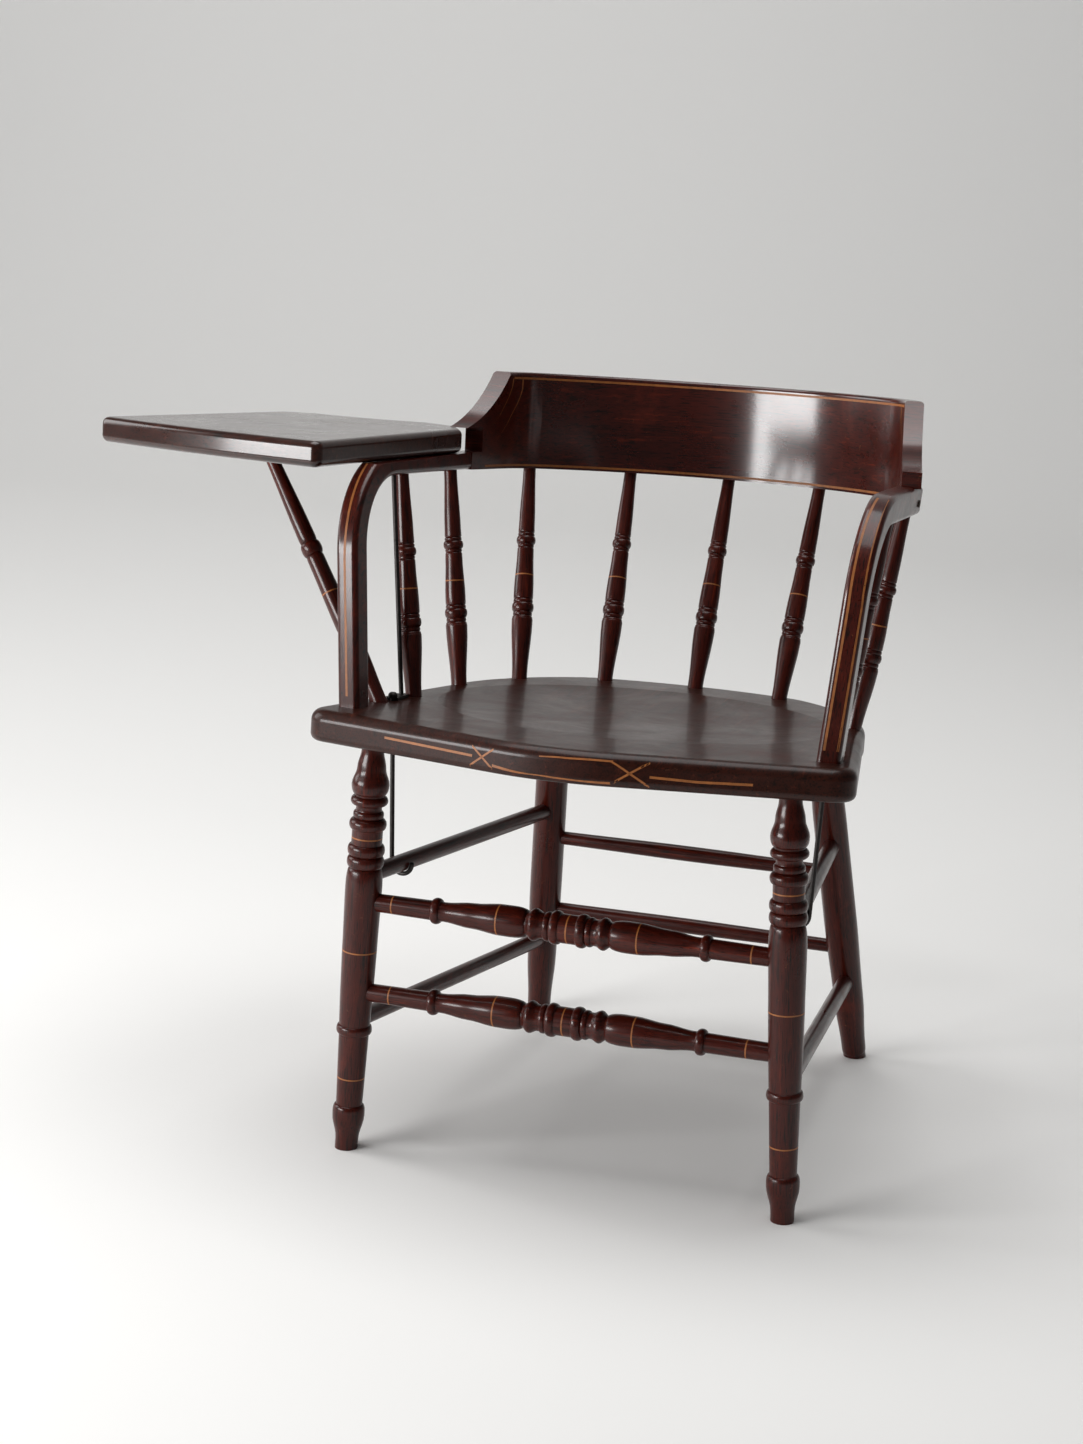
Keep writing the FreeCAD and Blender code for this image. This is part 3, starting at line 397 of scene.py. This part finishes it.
for level, height in FRONT_RAIL_HEIGHTS.items():
    stretcher("front_stretcher_" + level, ("front_leg_left", "front_leg_right"), (height, height),
              ringed_profile, ringed_stripes)
for level, height in REAR_RAIL_HEIGHTS.items():
    stretcher("rear_stretcher_" + level, ("rear_leg_left", "rear_leg_right"), (height, height),
              swelled_profile)
for level, heights in SIDE_RAIL_HEIGHTS.items():
    for side, sign in SIDES:
        stretcher(f"side_stretcher_{level}_{side}", ("front_leg_" + side, "rear_leg_" + side), heights,
                  dowel_profile)

# Arms, crest and the row of spindles between them and the seat
ARM_CORNER = (252.4, -142, 664.3)
ARM_TOE = math.radians(3.1)
ARM_SPLAY = math.radians(4.8)
ARM_LEAN = math.radians(6.1)
ARM_RAIL_LENGTH = 257
ARM_UNDERSIDE = {"left": 7.5, "right": 14}
CREST_REACH = 305
CREST_RADIUS = 280
CREST_CORNER_RADIUS = 90
CREST_HALF = 9.5
CREST_BOTTOM = 619.5
CREST_SHARP_TURN = 44
SPINDLE_COUNT = 9
SPINDLE_ROW_HALF_WIDTH = 213
SPINDLE_ROW_BACK = 209
SPINDLE_SOCKET = 14
ARM_SOCKET = 9
BRACE_SOCKET = 7
BEAD = 11.6
TIP_RADIUS = 6.6
FOOT_SHARE = 0.69

# (share across, share back) on the seat, from the front pair to the middle one, then along arm and crest
SEAT_SPOT_SHARES = ((1.005, -0.302), (0.977, 0.231), (0.817, 0.665), (0.451, 0.925), (0, 1))
ARM_SPOT_SHARES = (0.435, 0.885)
CREST_ANGLE_SHARES = (1.03, 0.5, 0)

# (share of the length, share of the bead's radius, form) up a spindle and up the brace
SPINDLE_SHARES = (
    (0.27, 0.96, "sway"), (0.28, 0.93, "bead"), (0.292, 0.8, "bead"), (0.3, 0.88, "bead"),
    (0.31, 0.82, "bead"), (0.334, 1, "bead"), (0.353, 0.84, "bead"), (0.361, 0.9, "bead"),
    (0.371, 0.8, "bead"), (0.378, 0.9, "bead"), (0.41, 0.9, "line"), (0.59, 0.76, "sway"),
    (0.608, 0.75, "line"), (0.616, 0.66, "bead"), (0.624, 0.74, "bead"), (0.632, 0.7, "bead"),
    (0.651, 0.88, "bead"), (0.67, 0.7, "bead"), (0.678, 0.76, "bead"), (0.686, 0.66, "bead"),
    (0.694, 0.75, "bead"), (0.72, 0.73, "line"),
)
SPINDLE_STRIPE_SHARE = 0.485
BRACE_SHARES = (
    (0.2, 0.85, "sway"), (0.222, 0.74, "bead"), (0.25, 1, "bead"), (0.278, 0.74, "bead"),
    (0.3, 0.86, "bead"), (0.565, 0.76, "sway"), (0.58, 0.68, "bead"), (0.605, 0.9, "bead"),
    (0.63, 0.68, "bead"), (0.65, 0.76, "bead"),
)
BRACE_STRIPE_SHARE = 0.43
BRACE_FOOT = (-228, -120, seat_top(-120))
TABLET_UNDERSIDE = 659.9
TABLET_FALL = math.radians(3.4)
BRACE_HEAD = (-375, -63, TABLET_UNDERSIDE + math.tan(TABLET_FALL) * 63)


def under_arm(side, sign, share):
    """Place on the underside of an arm's sloping part."""
    run = share * ARM_RAIL_LENGTH
    drop = math.tan(SEAT_SLOPE) * run + ARM_UNDERSIDE[side] / math.cos(SEAT_SLOPE)
    return (sign * (ARM_CORNER[0] - math.sin(ARM_TOE) * run - math.sin(ARM_SPLAY) * drop),
            ARM_CORNER[1] + math.cos(ARM_TOE) * run,
            ARM_CORNER[2] - math.cos(ARM_SPLAY) * drop)


def under_crest(sign, share):
    """Place on the lower edge of the crest."""
    turn = share * math.radians(CREST_SHARP_TURN)
    y = CREST_REACH - CREST_RADIUS * (1 - math.cos(turn))
    return (sign * CREST_RADIUS * math.sin(turn), y,
            CREST_BOTTOM + math.tan(SEAT_SLOPE) * (CREST_REACH - CREST_HALF - y))


def spindle(name, foot, head, shares, stripe_share, low, high):
    """Beaded rod from a socket below its foot to a socket above its head."""
    length = span(foot, head)
    profile = [(-low, FOOT_SHARE * BEAD, ""), (0, FOOT_SHARE * BEAD, "line")]
    profile += [(share * length, wide * BEAD, form) for share, wide, form in shares]
    profile += [(length, TIP_RADIUS, "sway"), (length + high, TIP_RADIUS, "line")]
    lathe(name, foot, head, profile, (stripe_share * length,))


for place in range(SPINDLE_COUNT):
    step = min(place, SPINDLE_COUNT - 1 - place)
    sign = -1 if place < SPINDLE_COUNT // 2 else 1
    across, back = SEAT_SPOT_SHARES[step]
    y = back * SPINDLE_ROW_BACK
    foot = (sign * across * SPINDLE_ROW_HALF_WIDTH, y, seat_top(y))
    if step < len(ARM_SPOT_SHARES):
        head = under_arm("left" if sign < 0 else "right", sign, ARM_SPOT_SHARES[step])
        socket = ARM_SOCKET
    else:
        head = under_crest(sign, CREST_ANGLE_SHARES[step - len(ARM_SPOT_SHARES)])
        socket = SPINDLE_SOCKET
    spindle(f"spindle_{place + 1}", foot, head, SPINDLE_SHARES, SPINDLE_STRIPE_SHARE, SPINDLE_SOCKET, socket)

spindle("tablet_brace", BRACE_FOOT, BRACE_HEAD, BRACE_SHARES, BRACE_STRIPE_SHARE, BRACE_SOCKET, BRACE_SOCKET)

# The bent and sawn pieces and the irons keep the frame's own forms
for name, finish in (("seat", seat_wood), ("arm_left", arm_wood), ("arm_right", arm_wood),
                     ("crest_rail", crest_wood), ("writing_tablet", tablet_wood),
                     ("arm_rod_left", iron), ("arm_rod_right", iron), ("hook_rod_left", iron),
                     ("hook_rod_right", iron), ("rod_nut_left", iron), ("rod_nut_right", iron)):
    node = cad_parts[name]
    node.data.materials.clear()
    node.data.materials.append(finish)

# Painted lines: thin ribbons laid on the frame's surfaces
LINE_WIDTH = 2.3
LINE_STEP = 5
LINE_OVER = 0.12


def painted_line(name, places, across, carrier):
    """Ribbon through places in the chair's mm, as wide as a line in direction across, laid on a node."""
    stops = [Vector(places[0])]
    for place in places[1:]:
        run = Vector(place) - stops[-1]
        steps = max(1, round(run.length / LINE_STEP))
        stops += [stops[-1] + run * (step + 1) / steps for step in range(steps)]
    wide = Vector(across).normalized() * LINE_WIDTH * MM
    made = point_at(name, at(*stops[0]) - wide / 2)
    draw_out(wide)
    bpy.ops.mesh.select_all(action="SELECT")
    for near, far in zip(stops, stops[1:]):
        draw_out((far - near) * MM)
    bpy.ops.mesh.select_all(action="SELECT")
    bpy.ops.mesh.normals_make_consistent(inside=False)
    bpy.ops.object.mode_set(mode="OBJECT")
    laid = made.modifiers.new("laid", "SHRINKWRAP")
    laid.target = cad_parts[carrier]
    laid.wrap_method = "NEAREST_SURFACEPOINT"
    laid.wrap_mode = "ABOVE_SURFACE"
    laid.offset = LINE_OVER * MM
    bpy.ops.object.modifier_apply(modifier="laid")
    made.data.materials.append(ochre_paint)
    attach(made, "root")


# Lines on the seat's front edge: (across, depth) places in mm; the edge bows out by a peak
SEAT_PEAK = 77
SEAT_PEAK_HALF_WIDTH = 270
SEAT_LINES = (
    ((-174, 15), (-76, 17.2)), ((-77, 8), (-54, 26)), ((-54, 8), (-78, 26.5)),
    ((-54, 23), (-30, 25.8), (-7, 27), (28, 27.4), (58, 26.5)), ((-8, 6), (60, 6)),
    ((58, 27.5), (92, 5)), ((58, 6), (92, 27.5)), ((92, 18.6), (134, 20), (181, 19)),
)


def seat_front(x, depth):
    """Place close to the seat's front edge, at a depth below its top."""
    y = -SEAT_FRONT_LINE - SEAT_PEAK * (1 - abs(x) / SEAT_PEAK_HALF_WIDTH)
    return (x, y, seat_top(y) - depth)


for place, line in enumerate(SEAT_LINES):
    painted_line(f"seat_line_{place + 1}", [seat_front(*stop) for stop in line], (0, 0, 1), "seat")

# Lines on the crest: along both edges, and two that follow the hollow curve at each end;
# places are (degrees round, then mm past the bend, rise), and the arm's lap cuts the left ones short
CREST_TURN = 77
CREST_LONG_LINES = ((95.5, 74), (3.5, 120))
CREST_LINE_STEP = 2
CREST_END_LINES = (
    ((75, 95), (76, 86), (81, 76), (87, 68), (97, 56), (109, 46), (126, 36), (144, 28)),
    ((64, 95), (64, 84), (66, 76), (69, 68), (75, 57), (81, 48), (90, 39), (100, 32), (123, 20), (146, 11)),
)
CREST_END_LINE_STOPS = {"left": 110, "right": 150}


def crest_face(way, rise):
    """Place on the crest's inner face: degrees round it, then mm past the bend, and the rise."""
    sign = math.copysign(1, way)
    turn = math.radians(min(abs(way), CREST_TURN))
    past = max(abs(way) - CREST_TURN, 0)
    sharp = math.radians(CREST_SHARP_TURN)
    middle = Vector((0, CREST_REACH - CREST_RADIUS))
    radius = CREST_RADIUS - CREST_HALF
    if turn > sharp:
        middle += (CREST_RADIUS - CREST_CORNER_RADIUS) * Vector((math.sin(sharp), math.cos(sharp)))
        radius = CREST_CORNER_RADIUS - CREST_HALF
    flat = middle + radius * Vector((math.sin(turn), math.cos(turn)))
    flat += past * Vector((math.cos(turn), -math.sin(turn)))
    back = flat.y - (CREST_REACH - CREST_HALF)
    return (sign * flat.x,
            CREST_REACH - CREST_HALF + back * math.cos(SEAT_SLOPE) + rise * math.sin(SEAT_SLOPE),
            CREST_BOTTOM - back * math.sin(SEAT_SLOPE) + rise * math.cos(SEAT_SLOPE))


for place, (rise, reach) in enumerate(CREST_LONG_LINES):
    ways = range(-reach, reach + 1, CREST_LINE_STEP)
    painted_line(f"crest_line_{place + 1}", [crest_face(way, rise) for way in ways], (0, 0, 1), "crest_rail")
for side, sign in SIDES:
    for place, line in enumerate(CREST_END_LINES):
        places = [crest_face(sign * way, rise) for way, rise in line if way <= CREST_END_LINE_STOPS[side]]
        painted_line(f"crest_end_line_{side}_{place + 1}", places, (0, 1, 0.6), "crest_rail")

# Lines up the arms' posts and over their bends, at distances outwards from the middle of the face
ARM_OUTER_BEND = 95
ARM_BEND_SPREAD_SHARE = 0.05
ARM_BEND_STEP = 8
ARM_BEND_END = 80
ARM_POST_HALF = 13.5
ARM_TOP_RISE = 14.5
POST_FOOT_HEIGHT = 452
ARM_LINES = (("arm_line_left", "arm_left", -1, 2.5), ("arm_line_right", "arm_right", 1, -3),
             ("arm_line_right_outer", "arm_right", 1, 9.5))


def on_post(sign, out, height):
    """Place on the front of an arm's post, at a height."""
    drop = ARM_CORNER[2] - height
    return Vector((sign * (ARM_CORNER[0] - math.tan(ARM_SPLAY) * drop + out),
                   ARM_CORNER[1] - math.tan(ARM_LEAN) * drop - ARM_POST_HALF, height))


def arm_front(sign, out):
    """Places up the front of an arm's post and over its bend, at a distance outwards."""
    start = on_post(sign, out, ARM_CORNER[2] + ARM_TOP_RISE - ARM_OUTER_BEND)
    places = [on_post(sign, out, POST_FOOT_HEIGHT), start]
    for turn in range(ARM_BEND_STEP, ARM_BEND_END + 1, ARM_BEND_STEP):
        angle = math.radians(turn)
        places.append(start + Vector((sign * ARM_BEND_SPREAD_SHARE * ARM_OUTER_BEND * math.sin(angle),
                                      ARM_OUTER_BEND * (1 - math.cos(angle)),
                                      ARM_OUTER_BEND * math.sin(angle))))
    return places


for name, carrier, sign, out in ARM_LINES:
    painted_line(name, arm_front(sign, out), (1, 0, 0), carrier)

# Screws: one slotted head on the outside of each arm's rear end
SCREW_SIDES = 32
SCREW_RADIUS = 3.6
SCREW_HEIGHT = 1.2
SCREW_RIM = 0.8
SCREW_DOME = 0.4
SLOT_WIDTH = 0.9
SLOT_LENGTH = 3 * SCREW_RADIUS
LAP_SCREW = (400, 98, 641)


def pick(made, kind, chosen):
    """Leaves a piece in edit mode with only those faces or edges picked that a test chooses."""
    bpy.ops.object.mode_set(mode="EDIT")
    bpy.ops.mesh.select_mode(type=kind)
    bpy.ops.mesh.select_all(action="DESELECT")
    bpy.ops.object.mode_set(mode="OBJECT")
    for part in (made.data.polygons if kind == "FACE" else made.data.edges):
        part.select = chosen(part)
    bpy.ops.object.mode_set(mode="EDIT")


def screw(name, place, way, carrier):
    """Slotted, slightly domed screw head on a node, found from a place outside it in the chair's mm."""
    bpy.ops.object.select_all(action="DESELECT")
    bpy.ops.mesh.primitive_cylinder_add(vertices=SCREW_SIDES, radius=SCREW_RADIUS * MM,
                                        depth=2 * SCREW_HEIGHT * MM)
    made = bpy.context.object
    made.name = name
    pick(made, "FACE", lambda face: face.normal.z > 0.9)
    bpy.ops.mesh.inset(thickness=SCREW_RIM * MM, depth=SCREW_DOME * MM)
    bpy.ops.object.mode_set(mode="OBJECT")
    bpy.ops.mesh.primitive_cube_add(size=MM, location=(0, 0, (SCREW_HEIGHT + 0.5) * MM),
                                    scale=(SLOT_LENGTH, SLOT_WIDTH, 1))
    cutter = bpy.context.object
    slot = made.modifiers.new("slot", "BOOLEAN")
    slot.object = cutter
    bpy.context.view_layer.objects.active = made
    bpy.ops.object.modifier_apply(modifier="slot")
    bpy.data.objects.remove(cutter)
    _, found, normal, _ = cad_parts[carrier].ray_cast(at(*place), -Vector(way).normalized())
    bpy.ops.object.select_all(action="DESELECT")
    made.select_set(True)
    made.matrix_world = facing(found, normal)
    bpy.ops.object.transform_apply(location=True, rotation=True, scale=True)
    made.data.materials.append(screw_iron)
    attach(made, "root")


for side, sign in SIDES:
    screw("lap_screw_" + side, mirrored(LAP_SCREW, sign), (sign, 0, 0), "arm_" + side)

# Stage: a pale paper sweep, sizes in metres
SWEEP_WIDTH = 16
SWEEP_FRONT = -1.9
SWEEP_BACK = 6.5
SWEEP_HEIGHT = 8
SWEEP_BEND = 3
SWEEP_STEPS = 16

# Matt paper off the roll: a pale ground that takes a soft shadow
paper, tree = blank("White seamless paper, matt")
shader = add(tree, "ShaderNodeBsdfPrincipled", links={
    "Base Color": srgb("F4F3F1"), "Roughness": 0.9, "Specular IOR Level": 0.2})
add(tree, "ShaderNodeOutputMaterial", links={"Surface": (shader, "BSDF")})

bpy.ops.object.select_all(action="DESELECT")
bpy.ops.mesh.primitive_plane_add(size=1)
sweep = bpy.context.object
sweep.name = "paper_sweep"
bpy.ops.object.mode_set(mode="EDIT")
bpy.ops.mesh.select_all(action="SELECT")
bpy.ops.transform.resize(value=(SWEEP_WIDTH, SWEEP_BACK - SWEEP_FRONT, 1))
bpy.ops.transform.translate(value=(0, (SWEEP_BACK + SWEEP_FRONT) / 2, 0))
bpy.ops.object.mode_set(mode="OBJECT")


def at_back(edge):
    """True for an edge of the sweep that lies on the floor at its back."""
    ends = [sweep.data.vertices[index].co for index in edge.vertices]
    return all(end.y > 1 and abs(end.z) < 0.1 for end in ends)


pick(sweep, "EDGE", at_back)
draw_out((0, 0, SWEEP_HEIGHT))
bpy.ops.object.mode_set(mode="OBJECT")
pick(sweep, "EDGE", at_back)
bpy.ops.mesh.bevel(offset=SWEEP_BEND, segments=SWEEP_STEPS)
bpy.ops.object.mode_set(mode="OBJECT")
bpy.ops.object.shade_smooth()
sweep.data.materials.append(paper)

# World: the camera sees a pale grey past the paper, and the light from it stays low
WORLD_LIGHT = 0.1
WORLD_SEEN = 0.78
world = bpy.data.worlds.new("Pale studio")
bpy.context.scene.world = world
world.use_nodes = True
glow = world.node_tree.nodes["Background"]
glow.inputs["Color"].default_value = srgb("F2F4F6")
ray = add(world.node_tree, "ShaderNodeLightPath")
strength = add(world.node_tree, "ShaderNodeMapRange", links={
    "Value": (ray, "Is Camera Ray"), "To Min": WORLD_LIGHT, "To Max": WORLD_SEEN})
world.node_tree.links.new(strength.outputs["Result"], glow.inputs["Strength"])


def lamp(name, place, target, size, power):
    """Rectangular soft box aimed at a place, in metres and watts."""
    light = bpy.data.lights.new(name, "AREA")
    light.shape = "RECTANGLE"
    light.size, light.size_y = size
    light.energy = power
    made = bpy.data.objects.new(name, light)
    bpy.context.collection.objects.link(made)
    made.matrix_world = facing(Vector(place), Vector(target) - Vector(place), "-Z")


# A window's light from the left, the low strip that the crest mirrors, the room's fill, and the backdrop's
lamp("window_left", (-3.3, -0.1, 1.7), (0.1, 0, 0.55), (1.6, 2.0), 45)
lamp("strip_left", (-1.75, -2.0, 0.8), (0.23, 0.26, 0.68), (1.5, 0.55), 58)
lamp("ceiling_soft", (-0.3, 0.1, 3.4), (0.0, 0, 0), (2.6, 2.6), 76)
lamp("backdrop_wash", (-3.6, 2.0, 3.8), (-3.4, 6.5, 2.6), (5.0, 1.5), 112)

# The camera stands where the photograph's points place it, turned 2 degrees about its own line
CAMERA_PLACE = (767.2, -2547.6, 1044.5)
CAMERA_ROLL = math.radians(2)
CAMERA_FORWARD = (-0.3135, 0.9209, -0.2317)
CAMERA_LEVEL = (0.9466, 0.3223, 0)
FOCAL_PIXELS = 2748.6
PICTURE_HEIGHT = 1444
SENSOR = 36
forward = Vector(CAMERA_FORWARD).normalized()
level_right = Vector(CAMERA_LEVEL).normalized()
level_up = level_right.cross(forward)
right = math.cos(CAMERA_ROLL) * level_right + math.sin(CAMERA_ROLL) * level_up
up = right.cross(forward)
camera_data = bpy.data.cameras.new("photo_view")
camera_data.sensor_width = SENSOR
camera_data.lens = FOCAL_PIXELS / PICTURE_HEIGHT * SENSOR
camera = bpy.data.objects.new("photo_view", camera_data)
bpy.context.collection.objects.link(camera)
turn = Matrix((right, up, -forward)).transposed().to_4x4()
camera.matrix_world = Matrix.Translation(at(*CAMERA_PLACE)) @ turn
scene = bpy.context.scene
scene.camera = camera
scene.view_settings.view_transform = "Standard"
